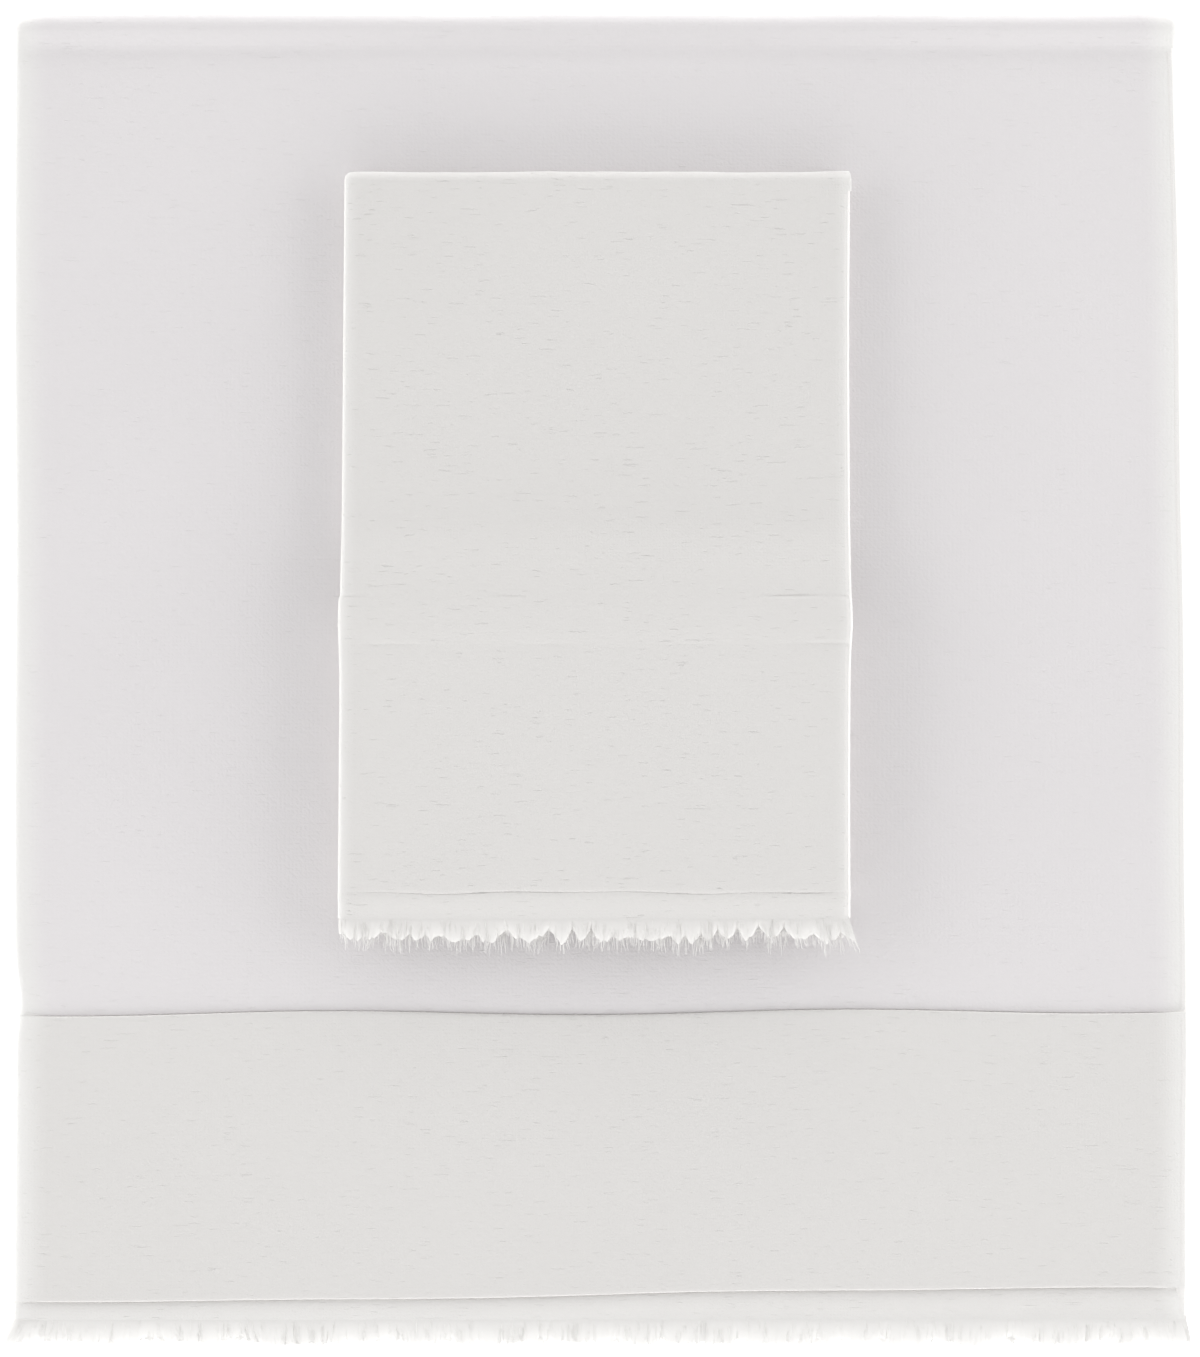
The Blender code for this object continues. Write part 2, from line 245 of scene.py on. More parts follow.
def add_node(tree, kind, settings=(), inputs=(), links=()):
    """A node of that kind, with its settings, its input values and the links into it."""
    node = tree.nodes.new(kind)
    for name, value in dict(settings).items():
        setattr(node, name, value)
    for name, value in dict(inputs).items():
        node.inputs[name].default_value = value
    for name, (source, output) in dict(links).items():
        tree.links.new(source.outputs[output], node.inputs[name])
    return node


def new_material(name):
    """A material, its node tree, its shader, and a node that gives the place on the object."""
    material = bpy.data.materials.new(name)
    material.use_nodes = True
    tree = material.node_tree
    return material, tree, tree.nodes["Principled BSDF"], add_node(tree, "ShaderNodeTexCoord")


def wire_shader(tree, shader, values, base, bump=None):
    """Link the colour and the relief into the shader, and set its other inputs."""
    tree.links.new(base.outputs["Result"], shader.inputs["Base Color"])
    if bump:
        tree.links.new(bump.outputs["Normal"], shader.inputs["Normal"])
    for name, value in values.items():
        shader.inputs[name].default_value = value


def wave_scale(spacing):
    """The wave texture's scale for bands that far apart: at scale 1 they are pi / 10 apart."""
    return math.pi / 10 / spacing


def noise(tree, vector, scale, detail, roughness=0.5):
    return add_node(
        tree, "ShaderNodeTexNoise", inputs={"Scale": scale, "Detail": detail, "Roughness": roughness},
        links={"Vector": vector},
    )


def stretch(tree, place, size):
    """Coordinates in which a pattern of size 1 has that size along x, y and z."""
    return add_node(
        tree, "ShaderNodeMapping", inputs={"Scale": [1 / s for s in size]},
        links={"Vector": (place, "Object")},
    )


def maths(tree, operation, links, values=(), clamp=False):
    return add_node(tree, "ShaderNodeMath", {"operation": operation, "use_clamp": clamp}, values, links)


def mix(tree, factor, tones, links=()):
    """A blend of the colours A and B. One that is not among the tones is linked."""
    return add_node(
        tree, "ShaderNodeMix", {"data_type": "RGBA"},
        {socket: (*tone, 1.0) for socket, tone in tones.items()}, {**dict(links), "Factor": factor},
    )


def relief(tree, strength, distance, height):
    return add_node(
        tree, "ShaderNodeBump", inputs={"Strength": strength, "Distance": distance},
        links={"Height": height},
    )


# The painted light attribute, which the materials mix into their colour: painted highlight and painted light
# through thin cloth.
def painted_light_of(tree):
    return add_node(tree, "ShaderNodeAttribute", {"attribute_name": "painted_light"})


SLUB_SIZE = (7 * MM, 0.7 * MM, 0.7 * MM)
FIBRE_SIZE = (0.8 * MM, 6 * MM, 0.8 * MM)
CLOTH_SHADER = {
    "Roughness": 0.92, "Sheen Weight": 0.25, "Sheen Roughness": 0.5, "IOR": 1.5,
    "Specular IOR Level": 0.2,
}
YARN_SHADER = {"Roughness": 0.9, "Sheen Weight": 0.25, "Specular IOR Level": 0.2}
# Slot: colour setting, spacing of the drawn threads, height of the slubs, drift of tone, fuzz.
WEAVES = {
    "bath_cloth": ("towelling", 1.6 * MM, 0.8, 0.05, 1.3 * MM),
    "border_cloth": ("band", 1.2 * MM, 1.6, 0.04, 0.9 * MM),
    "hand_cloth": ("hand", 1.2 * MM, 3.0, 0.04, 0.9 * MM),
    "selvedge_weave": ("selvedge", 0.9 * MM, 0.3, 0.02, 0.8 * MM),
}


def woven_cotton(name, tone, spacing, slub, tint, pile):
    """Washed cotton, plain woven with slub yarn: matt, with a faint fuzz and sheen that lighten its edges,
    and painted highlight and painted light mixed into its colour.

    The threads are drawn at spacing, coarser than real ones, so that the weave shows at all.
    Slubs, the thick places in a hand-spun yarn, lie along the weft and are 4 to 8 mm long.
    """
    material, tree, shader, place = new_material(name)
    here = (place, "Object")
    warp, weft = [
        add_node(
            tree, "ShaderNodeTexWave", {"bands_direction": direction},
            {"Scale": wave_scale(spacing), "Distortion": 0.8, "Detail": 1.0, "Detail Scale": 2.0},
            {"Vector": here},
        )
        for direction in "XY"
    ]
    weave = maths(tree, "MULTIPLY", {0: (warp, "Fac"), 1: (weft, "Fac")})
    fuzz = noise(tree, here, 1 / pile, 3.0, 0.6)
    yarn = noise(tree, (stretch(tree, place, SLUB_SIZE), "Vector"), 1.0, 1.0, 0.4)
    slubs = add_node(
        tree, "ShaderNodeMapRange", {"interpolation_type": "SMOOTHSTEP"},
        {"From Min": 0.70, "From Max": 0.78, "To Min": 0.0, "To Max": slub},
        {"Value": (yarn, "Fac")},
    )
    cloud = noise(tree, here, 14.0, 2.0)
    shade = add_node(
        tree, "ShaderNodeMapRange",
        inputs={"From Min": 0.3, "From Max": 0.7, "To Min": 0.0, "To Max": tint},
        links={"Value": (cloud, "Fac")},
    )
    darker = maths(tree, "MULTIPLY_ADD", {0: (slubs, "Result"), 2: (shade, "Result")}, {1: 0.02})
    closed = mix(tree, (darker, "Value"), {"A": tone, "B": [0.72 * c for c in tone]})
    # painted light: the colour pales towards the fringe's tone where the painted light attribute is set
    base = mix(
        tree, (painted_light_of(tree), "Fac"), {"B": bpy.context.scene.towel_colours.fringe},
        {"A": (closed, "Result")},
    )
    raised = maths(tree, "MULTIPLY_ADD", {0: (weave, "Value"), 2: (fuzz, "Fac")}, {1: 0.15})
    height = maths(tree, "ADD", {0: (raised, "Value"), 1: (slubs, "Result")})
    wire_shader(tree, shader, CLOTH_SHADER, base, relief(tree, 0.5, 0.35 * MM, (height, "Value")))
    return material


def loose_yarn(name, tone):
    """Combed cotton yarn, frayed: whiter than the woven cloth, soft, with single fibres."""
    material, tree, shader, place = new_material(name)
    strand = noise(tree, (stretch(tree, place, FIBRE_SIZE), "Vector"), 1.0, 2.0)
    # painted light: the yarn's colour goes from the band's tone at the roots, where the painted light is
    # low, to its own paler tone at the tips
    matted = maths(tree, "MULTIPLY_ADD", {0: (painted_light_of(tree), "Fac")}, {1: -1.0, 2: 1.0}, True)
    darker = maths(tree, "MULTIPLY_ADD", {0: (strand, "Fac"), 2: (matted, "Value")}, {1: 0.15}, True)
    base = mix(tree, (darker, "Value"), {"A": tone, "B": bpy.context.scene.towel_colours.band})
    wire_shader(tree, shader, YARN_SHADER, base, relief(tree, 0.4, 0.1 * MM, (strand, "Fac")))
    return material


def sewing_cotton(name, tone):
    """Two-ply sewing cotton with a smooth twist. Its colour is darker than the cloth's: partly its own tone,
    partly painted shade of the groove it lies in.
    """
    material, tree, shader, place = new_material(name)
    twist = add_node(
        tree, "ShaderNodeTexWave", {"bands_direction": "DIAGONAL"}, {"Scale": wave_scale(1.2 * MM)},
        {"Vector": (place, "Object")},
    )
    base = mix(tree, (twist, "Fac"), {"A": tone, "B": [0.8 * c for c in tone]})
    wire_shader(tree, shader, {"Roughness": 0.75}, base)
    return material


def material_for(slot):
    """The material of a slot in the record, made once."""
    name = "washed_" + slot
    found = bpy.data.materials.get(name)
    if found:
        return found
    colours = bpy.context.scene.towel_colours
    if slot in WEAVES:
        tone, *weave = WEAVES[slot]
        return woven_cotton(name, getattr(colours, tone), *weave)
    if slot == "fringe_yarn":
        return loose_yarn(name, colours.fringe)
    return sewing_cotton(name, colours.thread)


# ---------------------------------------------------------------- shapes

def cloth_settings():
    return bpy.context.scene.towel_cloth


def smooth(share):
    share = np.clip(share, 0.0, 1.0)
    return share * share * (3 - 2 * share)


def hump(value, centre, width):
    return np.exp(-(((value - centre) / width) ** 2))


def ripples(x, y, size, seed, parts=7):
    """Slow irregular waves of about that size, from -1 to 1, the same for the same seed."""
    draw = random.Random(seed)
    total = 0.0
    for _ in range(parts):
        angle = draw.uniform(0, math.pi)
        step = 2 * math.pi / (size * draw.uniform(0.7, 1.9))
        phase = draw.uniform(0, 2 * math.pi)
        total = total + np.sin(step * (x * math.cos(angle) + y * math.sin(angle)) + phase)
    return total / (0.7 * parts)


def stations(start, end, coarse, focus, rims):
    """Shares from 0 to 1 for rows coarse metres apart, close together round each focus.

    A focus is (centre, reach, spacing). rims has "r" first or last for an end that is rounded off.
    """
    rows = list(np.linspace(start, end, max(3, int(abs(end - start) / coarse) + 1)))
    for centre, reach, spacing in focus:
        rows = [y for y in rows if abs(y - centre) > reach]
        rows += list(np.arange(centre - reach, centre + reach, spacing))
    rows += [start + c for c in RIM_ROWS if rims[0] == "r"]
    rows += [end - c for c in RIM_ROWS if rims[1] == "r"]
    rows = np.array(sorted(y for y in rows if start + 0.1 * MM < y < end - 0.1 * MM))
    rows = np.concatenate([[start], rows, [end]])
    kept = np.concatenate([[True], np.diff(rows) > MIN_ROW_GAP])
    return (rows[kept] - start) / (end - start)


def set_painted_light(obj, values):
    """How much painted light pales the colour at each point, from 0 to 1, for the materials: painted
    highlight along the side folds and painted light through the thin cloth and yarn near the fringes.
    """
    attributes = obj.data.attributes
    attribute = attributes.get("painted_light") or attributes.new("painted_light", "FLOAT", "POINT")
    before = np.empty(len(obj.data.vertices), dtype=np.float32)
    attribute.data.foreach_get("value", before)
    attribute.data.foreach_set("value", np.maximum(before, values).astype(np.float32))


def paint_rim_highlight(obj, ply, x, y):
    """Painted highlight: the cloth's colour is made a little paler along its side fold and its open edges,
    where light catches the rounded cloth.
    """
    left, right = SIDE_EDGES[ply["body"]]
    shoulder, _ = soft_edges(ply)
    inward = np.minimum(x - ply["left"] - left(y), ply["right"] + right(y) - x)
    rim_highlight = (1.0 if is_bath(ply) else 0.55) * (1 - smooth((inward - 0.12 * shoulder) / (1.05 * shoulder)))
    set_painted_light(obj, np.tile((rim_highlight * shows(ply)).ravel(), 2))


def paint_light_between(obj, from_y, to_y, first, last):
    """Painted light rises from first to last between two lines across the towel: the colour pales there as
    if light shone through the thin cloth.
    """
    places = np.empty(3 * len(obj.data.vertices))
    obj.data.vertices.foreach_get("co", places)
    share = np.clip((places[1::3] - from_y) / (to_y - from_y), 0, 1)
    set_painted_light(obj, first + (last - first) * share)


def finish_piece(obj, slot, body=None):
    obj.data.materials.append(material_for(slot))
    if body:
        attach(obj, body)
    return obj


def make_object(name, vertices, faces):
    mesh = bpy.data.meshes.new(name)
    mesh.from_pydata(vertices.tolist(), [], faces)
    mesh.validate()
    mesh.shade_smooth()
    mesh.set_sharp_from_angle(angle=math.radians(55))
    obj = bpy.data.objects.new(name, mesh)
    bpy.context.scene.collection.objects.link(obj)
    return obj


def shell_mesh(centre, half):
    """Vertices and faces of a closed sheet: points through its middle, half its thickness at each."""
    normal = np.cross(np.gradient(centre, axis=0), np.gradient(centre, axis=1))
    normal /= np.linalg.norm(normal, axis=2, keepdims=True)
    outer = centre + normal * half[..., None]
    inner = centre - normal * half[..., None]
    rows, columns = half.shape
    index = np.arange(rows * columns).reshape(rows, columns)
    under = index + rows * columns
    a, b, c, d = index[:-1, :-1], index[1:, :-1], index[1:, 1:], index[:-1, 1:]
    top = np.stack([a, b, c, d], axis=2).reshape(-1, 4)
    bottom = top[:, ::-1] + rows * columns
    rims = (
        (index[1:, 0], index[:-1, 0], under[:-1, 0], under[1:, 0]),
        (index[:-1, -1], index[1:, -1], under[1:, -1], under[:-1, -1]),
        (index[0, :-1], index[0, 1:], under[0, 1:], under[0, :-1]),
        (index[-1, 1:], index[-1, :-1], under[-1, :-1], under[-1, 1:]),
    )
    faces = [top, bottom] + [np.stack(rim, axis=1) for rim in rims]
    vertices = np.concatenate([outer.reshape(-1, 3), inner.reshape(-1, 3)])
    return vertices, np.concatenate(faces).tolist()


def shell(name, centre, half):
    return make_object(name, *shell_mesh(centre, half))


def rounded(distance, radius):
    """Share of the full thickness at that distance from a rounded rim."""
    inside = np.clip(distance / radius, 0.0, 1.0)
    return 0.42 + 0.58 * np.sqrt(1 - (1 - inside) ** 2)


# How each ply differs: its side edges, its seam lines and its surface.

def bath_left(y):
    """The side fold wanders a little, and pulls in just above the band's seam."""
    return -2.3 * MM + 1.9 * MM * hump(y, BAND_END + 6 * MM, 11 * MM) + 0.3 * MM * np.sin(y * 31)


def bath_right(y):
    """The open edges stand slightly further out towards the fringe."""
    return 1.8 * MM - 0.010 * y - 0.027 * y * y + 0.25 * MM * np.sin(y * 43 + 1)


def hand_left(y):
    """The side fold stands out below the tips of the flap inside."""
    bulge = 0.8 * MM * smooth((FLAP_TIPS - y) / (3 * MM)) * hump(y, FLAP_TIPS - 9 * MM, 15 * MM)
    return 0.008 * (y - 0.045) - bulge


def hand_right(y):
    return 0.2 * MM * np.sin(y * 37) + 0.7 * MM * hump(y, FLAP_TIPS - 11 * MM, 10 * MM)


def plain_edge(seed):
    """A hidden ply's edge, set back a little and slightly wavy."""
    draw = random.Random(seed)
    phase, back = draw.uniform(0, 6), draw.uniform(0.2, 0.9)
    return lambda y: -(back + 0.4 * np.sin(y * 24 + phase)) * MM


SIDE_EDGES = {
    "bath_upper": (bath_left, bath_right),
    "bath_middle": (lambda y: -plain_edge(3)(y), plain_edge(5)),
    "bath_lower": (lambda y: -plain_edge(8)(y), plain_edge(9)),
    "hand_upper": (hand_left, hand_right),
    "hand_lower": (lambda y: -plain_edge(12)(y), plain_edge(14)),
    "hand_flap": (lambda y: -plain_edge(17)(y), plain_edge(21)),
}


def band_seam(x):
    """The wavy line between the field and the band."""
    middle = BAND_END + GROOVE / 2 + 0.9 * MM
    return middle + 0.9 * MM * np.sin(2 * math.pi * (x + 0.155) / 0.2) + 0.003 * x


def header_seam(x):
    """The line between the band and the header, which rises a little from left to right."""
    return BAND_START - 1.1 * MM + 2.8 * MM * np.tanh(x / 0.12) + 0.25 * MM * np.sin(x * 40)


def hand_seam(x):
    return HAND_HEM + 0.35 * MM * np.sin(x * 55 + 2) + 0.25 * MM * np.sin(x * 131)


def constant(value):
    return lambda x: value + 0.0 * x


def bath_surface(x, y):
    """How far the bath towel's top layer stands above its flat height."""
    cloth = cloth_settings()
    end = BATH_UPPER["end"]
    bead = cloth.bead * hump(y, end + 2.2 * MM, 4.2 * MM)
    valley = cloth.valley * hump(y, end - 8.4 * MM, 5.0 * MM)
    slow = cloth.ripple * ripples(x, y, 0.16, 5)
    fine = 0.25 * cloth.ripple * ripples(x, y, 0.035, 6)
    return bead - valley + slow + fine


def field_surface(x, y):
    cloth = cloth_settings()
    above = np.maximum(y - band_seam(x), 0)
    pucker = cloth.pucker * ripples(x, 0 * y, 0.012, 31) * np.exp(-above / (4 * MM))
    return bath_surface(x, y) - cloth.seam_dip * np.exp(-above / (4.5 * MM)) + pucker


def band_surface(x, y):
    cloth = cloth_settings()
    edge = np.minimum(band_seam(x) - y, y - header_seam(x))
    pucker = cloth.pucker * ripples(x, 0 * y, 0.010, 33) * np.exp(-np.maximum(edge, 0) / (5 * MM))
    return bath_surface(x, y) + BAND_RISE + pucker


def header_surface(x, y):
    cloth = cloth_settings()
    below = np.maximum(header_seam(x) - y, 0)
    dip = cloth.seam_dip * np.exp(-below / (3 * MM))
    pucker = cloth.pucker * ripples(x, y, 0.014, 35)
    return bath_surface(x, y) - dip + pucker - header_droop(below)


def upper_surface(x, y):
    """The bath towel's upper ply from end to end, without its puckers."""
    below = np.maximum(header_seam(x) - y, 0)
    band = BAND_RISE * (y < band_seam(x)) * (y > header_seam(x))
    dip = cloth_settings().seam_dip * np.exp(-np.abs(y - band_seam(x)) / (4.5 * MM))
    return bath_surface(x, y) + band - dip * (y > band_seam(x)) - header_droop(below)


def header_droop(below):
    return cloth_settings().header_droop * smooth(below / (11 * MM))


def hand_step(y):
    """The upper ply climbs onto the flap, and its end droops beyond the bottom fold."""
    droop = 1.3 * MM * smooth((HAND_LOWER["start"] - 1 * MM - y) / (11 * MM))
    return FLAP_LIFT * smooth((FLAP_TIPS + 30 * MM - y) / (32 * MM)) - droop


def hand_surface(x, y):
    """The flap's fringed end shows through the upper ply as a faint ridge between two creases."""
    cloth = cloth_settings()
    upper, lower = FLAP_TIPS - 1.5 * MM, FLAP_TIPS - 19.5 * MM
    ridge = 0.45 * MM * smooth((y - lower + 2 * MM) / (9 * MM)) * smooth((upper - y) / (4 * MM))
    wander = 0.7 * MM * ripples(x, 0 * x, 0.05, 40)
    first = hump(y, upper + wander, 0.9 * MM) * np.clip(0.15 + ripples(x, 0 * x, 0.045, 44), 0, 1)
    second = hump(y, lower + 0.5 * wander, 0.8 * MM) * np.clip(0.15 + ripples(x, 0 * x, 0.06, 42), 0, 1)
    slow = 0.8 * cloth.ripple * ripples(x, y, 0.09, 43)
    seam = np.abs(y - hand_seam(x))
    dip = 0.4 * cloth.seam_dip * np.exp(-seam / (1.6 * MM))
    pucker = cloth.pucker * ripples(x, y, 0.012, 47) * np.exp(-seam / (5 * MM))
    return hand_step(y) + ridge - MM * (1.1 * first + 0.45 * second) + slow - dip + pucker


def flat_surface(seed):
    def surface(x, y):
        return 0.5 * cloth_settings().ripple * (ripples(x, y, 0.12, seed) - 1)
    return surface


def thickness(ply):
    return ply["layer"] * cloth_settings().layer_share


def layer_rise(ply):
    """Half the distance between the middles of the two layers."""
    return (ply["top"] - ply["bottom"] - thickness(ply)) / 2


def middle(ply):
    return (ply["top"] + ply["bottom"]) / 2


def is_bath(ply):
    return ply["body"].startswith("bath")


def shows(ply):
    """1 for the two upper plies, which lie open to the air, and 0 for the pressed ones."""
    return 1.0 if ply["body"].endswith("upper") else 0.0


def soft_edges(ply):
    """(shoulder of the side fold, droop of the open edge) of a ply."""
    cloth = cloth_settings()
    if is_bath(ply):
        return cloth.bath_shoulder, cloth.bath_droop
    return cloth.hand_shoulder, cloth.hand_droop


def shoulder_level(share):
    """Height across a soft rounded side, as shares: steep at its outer edge, then a gentle rise."""
    share = np.clip(share, 0.004, 1)
    steep = np.sqrt(1 - np.clip(1 - share / 0.15, 0, 1) ** 2)
    return 0.52 * steep + 0.48 * (1 - (1 - share) ** 1.6)


def section(ply, y, across, trim, soft):
    """Points round a double ply at each y, from its under layer's open edge to its top layer's.

    trim shortens it at its open edge. soft is 1 where the top layer shows, and its sides round
    off gently, and 0 where the ply is pressed under another. Returns x, the height above the
    ply's middle, and 1 on the top layer and 0 on the under one.
    """
    shoulder, droop = soft_edges(ply)
    left, right = SIDE_EDGES[ply["body"]]
    rise = layer_rise(ply)
    low_x = ply["left"] + thickness(ply) / 2 + left(y)
    high_x = ply["right"] + right(y) - trim
    tight = 1.4 * rise
    reach = tight + (shoulder - tight) * soft + 0 * y
    x, up, top = [], [], []
    for share in np.linspace(1, 0, max(8, across // 3)):
        x.append(low_x + tight + (high_x - low_x - tight) * share)
        up.append(-rise + 0 * y)
        top.append(0.0)
    for angle in np.linspace(270, 90, SIDE_ARC + 2)[1:-1]:
        turn = math.radians(angle)
        level = math.sin(turn)
        if angle < 180:
            level = level + soft * (shoulder_level(1 + math.cos(turn)) - level)
        x.append(low_x + (reach if angle < 180 else tight) * (1 + math.cos(turn)))
        up.append(rise * level + 0 * y)
        top.append(float(smooth((180 - angle) / 90)))
    start, stop = low_x + reach, high_x - shoulder
    places = [start + (stop - start) * share for share in np.linspace(0, 1, across)]
    places += [stop + shoulder * share for share in 1 - (1 - np.linspace(0.1, 1, END_ROWS)) ** 2]
    for here in places:
        x.append(here)
        up.append(rise - open_edge_fall(ply, here, right(y), soft))
        top.append(1.0)
    return np.array(x), np.array(up), np.array(top)[:, None]


def open_edge_fall(ply, x, right, soft):
    """How far the top layer sinks near its open edge."""
    shoulder, droop = soft_edges(ply)
    share = (ply["right"] + right - x + 0.4 * MM) / shoulder
    return droop * (0.4 + 0.6 * soft) * (1 - shoulder_level(share))


def lay_ply(part, ply, slot, start, end, surface, across, coarse, rims="rr", focus=()):
    """One panel of a double ply, from the seam line start(x) to end(x). rims: r rounded, f flat.

    A straight end can be given as its place along y.
    """
    name = f"{ply['body']}_{part}"
    start, end = [line if callable(line) else constant(line) for line in (start, end)]
    low, high = float(start(0.0)), float(end(0.0))
    shares = stations(low, high, coarse, focus, rims)
    x, up, top = section(ply, low + (high - low) * shares, across, 0.55 * thickness(ply), shows(ply))
    first, last = start(x), end(x)
    y = first + (last - first) * shares
    lift = surface(x, y)
    z = middle(ply) + up + lift * top
    if ply["body"] == "hand_upper":
        z = z + (1 - top) * np.minimum(lift, hand_step(y))
    half = np.full(x.shape, thickness(ply) / 2)
    off_left = np.clip((x - ply["left"] - 4 * MM) / (9 * MM), 0, 1)
    off_right = np.clip((ply["right"] - 4 * MM - x) / (9 * MM), 0, 1)
    tight = 0.15 + 0.3 * is_bath(ply)
    uneven = np.clip(tight + 0.45 + 0.6 * ripples(x, 0 * x, 0.055, 91), tight, 1)
    inner = top * smooth(off_left * off_right) * uneven
    for rim, distance in zip(rims, (y - first, last - y)):
        if rim == "r":
            half = half * (1 - inner * (1 - rounded(distance, RIM_RADIUS)))
    piece = shell(name + "_cloth", np.stack([x, y, z], axis=2), half)
    # painted highlight: paler colour along the side folds and open edges
    paint_rim_highlight(piece, ply, x, y)
    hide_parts(name)
    finish_piece(piece, slot, ply["body"])
    return piece, (2 * (ply["right"] - ply["left"]), high - low)


def lay_selvedge(name, ply, layer, surface, start, end, along):
    """The woven edge of one layer: a slightly thicker rounded strip along its open side."""
    _, right = SIDE_EDGES[ply["body"]]
    y = np.linspace(start, end, along)
    wide = 2.0 * thickness(ply)
    shares = np.sin(np.linspace(-math.pi / 2, math.pi / 2, 9)) * 0.5 + 0.5
    edge_x = ply["right"] + right(y) - (0.0 if layer == "top" else 0.5 * MM)
    x = edge_x - wide * (1 - shares[:, None])
    y = np.broadcast_to(y, x.shape)
    rise = layer_rise(ply)
    level = middle(ply)
    if layer == "top":
        z = level + rise - open_edge_fall(ply, x, right(y), shows(ply)) + surface(x, y)
    elif ply["body"] == "hand_upper":
        z = level - rise + np.minimum(surface(x, y), hand_step(y))
    else:
        z = level - rise + 0 * x
    bulge = np.sqrt(np.clip(1 - (2 * shares - 1) ** 2, 0.02, 1))[:, None]
    half = 0.53 * thickness(ply) * bulge * np.ones_like(x)
    half = half * rounded(np.minimum(y - start, end - y) + 0.2 * MM, 1.5 * MM)
    piece = shell(name + "_edge", np.stack([x, y, z], axis=2), half)
    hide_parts(name)
    return finish_piece(piece, "selvedge_weave", ply["body"])


def lay_selvedges(ply, surface, start, end, along):
    return [
        lay_selvedge(f"{ply['body']}_selvedge_{layer}", ply, layer, surface, start, end, along)
        for layer in ("top", "under")
    ]


def fold_join(hinge, run):
    """Where the cloth round a fold meets the flat ply: run metres before the hinge's axis."""
    pivot_y = joint(hinge)["pos_m"][1]
    return pivot_y - math.copysign(run, pivot_y)


def lay_fold(name, ply, hinge, run, corner, surface, across):
    """The doubled cloth round a fold, from the flat on one ply to the flat on the next.

    ply is the one above the fold. corner is (how far its corners pull in, how square they are).
    """
    inset, square = corner
    axis = joint(hinge)
    bodies = (axis["parent"], axis["child"])
    pivot_y, pivot_z = axis["pos_m"][1:]
    out = 1 if pivot_y > 0 else -1
    flats = np.linspace(-run, 0, 7)[:-1]
    angles = np.linspace(math.pi / 2, -math.pi / 2, 17)
    gap = middle(ply) - pivot_z
    steps = np.concatenate([flats, 0 * angles, flats[::-1]])
    turn = np.concatenate([np.full(len(flats), math.pi / 2), angles, np.full(len(flats), -math.pi / 2)])
    soft = shows(ply) * smooth(0.5 + 0.5 * np.sin(turn))
    x, up, top = section(ply, pivot_y + out * steps, across, 0.0, soft)
    middle_x = (ply["left"] + ply["right"]) / 2
    x = middle_x + (x - middle_x) * (1 - inset * np.cos(turn) ** 4 / (ply["right"] - middle_x))
    ahead = steps + (math.pi / 2 - turn) * (gap + 1.5 * MM) * (turn < math.pi / 2) * (turn > -math.pi / 2)
    lift = surface(x, pivot_y + out * ahead) * np.where(turn >= 0, 1.0, np.cos(turn) ** 2)
    radius = gap + up + lift * top
    wave = 0.45 * MM * ripples(x, 0 * x, 0.07, 71) + 0.15 * MM * ripples(x, 0 * x, 0.02, 72)
    reaches = radius + square * (up.max(axis=0) - up) * top
    y = pivot_y + out * (steps + reaches * np.cos(turn) + wave * np.cos(turn) ** 2)
    z = pivot_z + radius * np.sin(turn)
    centre = np.stack([x, y, z], axis=2)
    piece = shell(name + "_cloth", centre, np.full(x.shape, thickness(ply) / 2))
    # painted highlight: paler colour along the side folds and open edges
    paint_rim_highlight(piece, ply, x, pivot_y + 0 * x)
    if out > 0:
        piece.data.flip_normals()
    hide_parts(name + "_inner", name + "_outer")
    finish_piece(piece, "bath_cloth" if is_bath(ply) else "hand_cloth")
    reach = 0.9 * (gap + (ply["top"] - ply["bottom"]) / 2)
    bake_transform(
        piece, bodies[0], bodies[1],
        start=(0, pivot_y, pivot_z - reach), end=(0, pivot_y, pivot_z + reach),
    )
    return piece, (2 * (ply["right"] - ply["left"]), 2 * run + math.pi * gap)


# ---------------------------------------------------------------- threads and fringes

def tube_mesh(lines, radii, sides=3):
    """Vertices and faces of closed tapered tubes, one along each line of points."""
    count, points, _ = lines.shape
    around = np.arange(sides) * 2 * math.pi / sides
    ahead = np.gradient(lines, axis=1)
    ahead /= np.linalg.norm(ahead, axis=2, keepdims=True) + 1e-12
    across = np.cross(ahead, np.array([0.0, 0.0, 1.0]) + 0 * ahead)
    across /= np.linalg.norm(across, axis=2, keepdims=True) + 1e-12
    up = np.cross(across, ahead)
    ring = across[:, :, None] * np.cos(around)[:, None] + up[:, :, None] * np.sin(around)[:, None]
    vertices = (lines[:, :, None] + ring * radii[:, :, None, None]).reshape(-1, 3)
    base = np.arange(count)[:, None] * points * sides
    quads = []
    for p in range(points - 1):
        for s in range(sides):
            near, far = p * sides + s, p * sides + (s + 1) % sides
            quads.append(base + np.array([near, far, far + sides, near + sides]))
    first = base + np.arange(sides)[::-1]
    last = base + (points - 1) * sides + np.arange(sides)
    return vertices, np.concatenate(quads).tolist() + first.tolist() + last.tolist()


def tuft_lengths(x, low, high, spacing, depth, draw):
    """Share of the full reach at each x: rounded tufts with notches between, then single yarns."""
    notches = [low]
    while notches[-1] < high:
        notches.append(notches[-1] + spacing * draw.choice([0.35, 0.6, 1.0, 1.7]) * draw.uniform(0.8, 1.25))
    notches = np.array(notches)
    which = np.clip(np.searchsorted(notches, x) - 1, 0, len(notches) - 2)
    middle = (notches[which] + notches[which + 1]) / 2
    width = (notches[which + 1] - notches[which]) / 2
    offset = x - middle
    peak = draw.uniform(1 - 0.5 * depth, 1.0, len(notches))[which]
    deep = depth * draw.uniform(0.3, 1.3, len(notches))[which] * np.clip(width / (0.4 * spacing), 0.4, 1)
    share = peak - deep * np.abs(offset / width) ** 1.7
    single = np.repeat(draw.uniform(-1, 1, len(x) // 2 + 1), 2)[:len(x)]
    pull = 1.5 * depth * draw.uniform(0.05, 0.4, len(notches))[which]
    return share + 0.04 * single, offset, pull


